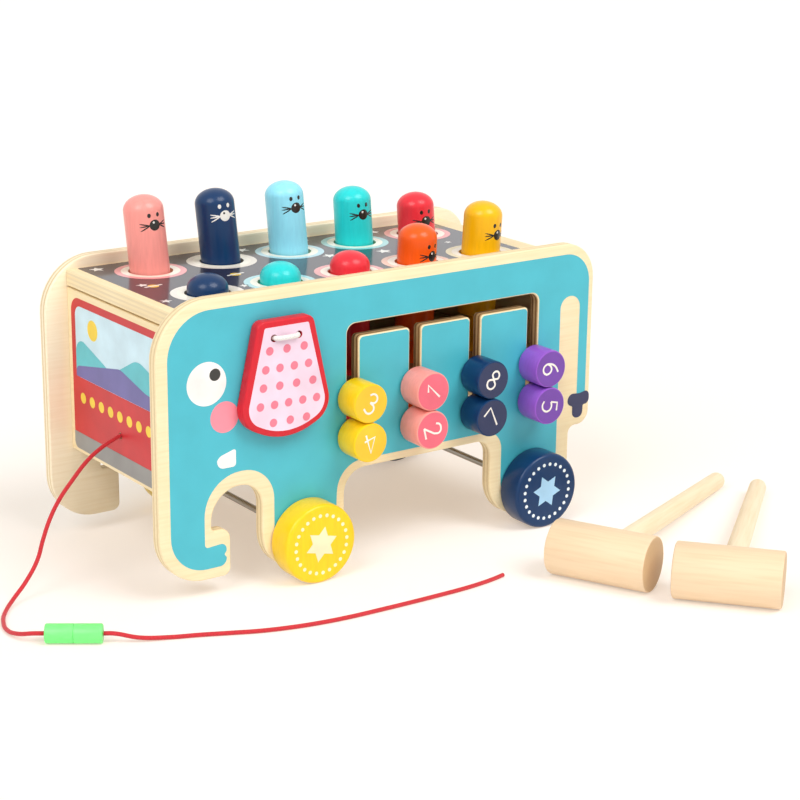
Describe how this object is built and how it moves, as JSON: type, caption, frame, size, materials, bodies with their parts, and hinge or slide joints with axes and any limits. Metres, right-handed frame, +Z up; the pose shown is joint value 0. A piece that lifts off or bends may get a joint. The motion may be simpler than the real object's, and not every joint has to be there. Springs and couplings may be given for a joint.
{
  "type": "whack-a-mole toy",
  "caption": "Elephant-shaped pull-along wooden toy with friction-held mole pegs to knock down, captive number discs on a comb track, pull cord and loose mallets.",
  "frame": {"origin": "floor level, middle of the area that the toy and its two mallets cover, the free cord left out", "axes": "+X from trunk to tail, +Y from the decorated near side to the far side, +Z up"},
  "size_m": [0.4914, 0.3496, 0.2055],
  "materials": {
    "natural_wood": "sanded, clear satin lacquer",
    "plywood": "sanded birch plywood",
    "teal_plywood": "satin paint with bare margins",
    "pink": "satin paint",
    "navy": "satin paint",
    "sky_blue": "satin paint",
    "turquoise": "satin paint",
    "red": "satin paint",
    "orange": "satin paint",
    "yellow": "satin paint",
    "purple": "satin paint",
    "steel": "drawn rod",
    "white_cord": "braided",
    "red_cord": "braided",
    "black_rubber": "soft sheet",
    "green_plastic": "moulded"
  },
  "bodies": {
    "body": {"near_side_panel": "teal_plywood", "far_side_panel": "teal_plywood", "deck_board": "plywood", "front_board": "plywood", "rear_board": "plywood", "guide_board": "plywood", "grip_sheet": "black_rubber", "ear_tie": "white_cord", "pull_cord_lead": "red_cord", "pull_cord_tail": "red_cord", "cord_knot": "red_cord", "connector_plug": "green_plastic", "connector_socket": "green_plastic"},
    "mole_back_1": {"mole_back_1": "pink", "mole_back_1_collar": "natural_wood"},
    "mole_back_2": {"mole_back_2": "navy", "mole_back_2_collar": "natural_wood"},
    "mole_back_3": {"mole_back_3": "sky_blue", "mole_back_3_collar": "natural_wood"},
    "mole_back_4": {"mole_back_4": "turquoise", "mole_back_4_collar": "natural_wood"},
    "mole_back_5": {"mole_back_5": "red", "mole_back_5_collar": "natural_wood"},
    "mole_front_1": {"mole_front_1": "navy", "mole_front_1_collar": "natural_wood"},
    "mole_front_2": {"mole_front_2": "turquoise", "mole_front_2_collar": "natural_wood"},
    "mole_front_3": {"mole_front_3": "red", "mole_front_3_collar": "natural_wood"},
    "mole_front_4": {"mole_front_4": "orange", "mole_front_4_collar": "natural_wood"},
    "mole_front_5": {"mole_front_5": "yellow", "mole_front_5_collar": "natural_wood"},
    "disc_1_lower": {"disc_1_lower": "yellow", "disc_1_lower_keeper": "natural_wood"},
    "disc_1_upper": {"disc_1_upper": "yellow", "disc_1_upper_keeper": "natural_wood"},
    "disc_2_lower": {"disc_2_lower": "pink", "disc_2_lower_keeper": "natural_wood"},
    "disc_2_upper": {"disc_2_upper": "pink", "disc_2_upper_keeper": "natural_wood"},
    "disc_3_lower": {"disc_3_lower": "navy", "disc_3_lower_keeper": "natural_wood"},
    "disc_3_upper": {"disc_3_upper": "navy", "disc_3_upper_keeper": "natural_wood"},
    "disc_4_lower": {"disc_4_lower": "purple", "disc_4_lower_keeper": "natural_wood"},
    "disc_4_upper": {"disc_4_upper": "purple", "disc_4_upper_keeper": "natural_wood"},
    "front_wheelset": {"front_axle": "steel", "front_near_wheel": "yellow", "front_far_wheel": "yellow"},
    "rear_wheelset": {"rear_axle": "steel", "rear_near_wheel": "navy", "rear_far_wheel": "navy"},
    "ear": {"ear": "red"},
    "mallet_1": {"mallet_1_head": "natural_wood", "mallet_1_handle": "natural_wood"},
    "mallet_2": {"mallet_2_head": "natural_wood", "mallet_2_handle": "natural_wood"}
  },
  "joints": [
    {"name": "mole_back_1_slide", "type": "slide", "parent": "body", "child": "mole_back_1", "axis": [-0.0676, 0.0493, 0.9965], "range_m": [-0.0335, 0.0003]},
    {"name": "mole_back_2_slide", "type": "slide", "parent": "body", "child": "mole_back_2", "axis": [-0.0761, 0.0554, 0.9956], "range_m": [-0.0324, 0.0014]},
    {"name": "mole_back_3_slide", "type": "slide", "parent": "body", "child": "mole_back_3", "axis": [-0.0662, 0.0482, 0.9966], "range_m": [-0.0321, 0.0017]},
    {"name": "mole_back_4_slide", "type": "slide", "parent": "body", "child": "mole_back_4", "axis": [-0.0479, 0.0349, 0.9982], "range_m": [-0.024, 0.0098]},
    {"name": "mole_back_5_slide", "type": "slide", "parent": "body", "child": "mole_back_5", "axis": [-0.055, 0.04, 0.9977], "range_m": [-0.0155, 0.0183]},
    {"name": "mole_front_1_slide", "type": "slide", "parent": "body", "child": "mole_front_1", "axis": [0, 0, 1], "range_m": [-0.0003, 0.0335]},
    {"name": "mole_front_2_slide", "type": "slide", "parent": "body", "child": "mole_front_2", "axis": [0, 0, 1], "range_m": [-0.001, 0.0328]},
    {"name": "mole_front_3_slide", "type": "slide", "parent": "body", "child": "mole_front_3", "axis": [0, 0, 1], "range_m": [-0.0016, 0.0322]},
    {"name": "mole_front_4_slide", "type": "slide", "parent": "body", "child": "mole_front_4", "axis": [0.0212, -0.0154, 0.9997], "range_m": [-0.0121, 0.0217]},
    {"name": "mole_front_5_slide", "type": "slide", "parent": "body", "child": "mole_front_5", "axis": [0.0423, -0.0308, 0.9986], "range_m": [-0.0204, 0.0134]},
    {"name": "disc_1_lower_slide", "type": "slide", "parent": "body", "child": "disc_1_lower", "axis": [0, 0, -1], "range_m": [-0.036, 0]},
    {"name": "disc_1_upper_slide", "type": "slide", "parent": "disc_1_lower", "child": "disc_1_upper", "axis": [0, 0, 1], "range_m": [0, 0.036]},
    {"name": "disc_2_lower_slide", "type": "slide", "parent": "body", "child": "disc_2_lower", "axis": [0, 0, -1], "range_m": [-0.036, 0]},
    {"name": "disc_2_upper_slide", "type": "slide", "parent": "disc_2_lower", "child": "disc_2_upper", "axis": [0, 0, 1], "range_m": [0, 0.036]},
    {"name": "disc_3_lower_slide", "type": "slide", "parent": "body", "child": "disc_3_lower", "axis": [0, 0, -1], "range_m": [-0.036, 0]},
    {"name": "disc_3_upper_slide", "type": "slide", "parent": "disc_3_lower", "child": "disc_3_upper", "axis": [0, 0, 1], "range_m": [0, 0.036]},
    {"name": "disc_4_lower_slide", "type": "slide", "parent": "body", "child": "disc_4_lower", "axis": [0, 0, -1], "range_m": [-0.036, 0]},
    {"name": "disc_4_upper_slide", "type": "slide", "parent": "disc_4_lower", "child": "disc_4_upper", "axis": [0, 0, 1], "range_m": [0, 0.036]},
    {"name": "front_wheels_roll", "type": "hinge", "parent": "body", "child": "front_wheelset", "pos_m": [-0.11098, 0.09014, 0.0231], "axis": [0, 1, 0], "continuous": true},
    {"name": "rear_wheels_roll", "type": "hinge", "parent": "body", "child": "rear_wheelset", "pos_m": [0.05102, 0.09014, 0.0231], "axis": [0, 1, 0], "continuous": true},
    {"name": "ear_flap", "type": "hinge", "parent": "body", "child": "ear", "pos_m": [-0.12738, 0.02184, 0.1533], "axis": [-1, 0, 0], "range_deg": [0, 70], "deforming": ["ear_tie"]},
    {"name": "mallet_1_lift", "type": "slide", "parent": "body", "child": "mallet_1", "axis": [0, 0, 1], "range_m": [0, 0.25]},
    {"name": "mallet_2_lift", "type": "slide", "parent": "body", "child": "mallet_2", "axis": [0, 0, 1], "range_m": [0, 0.25]}
  ]
}
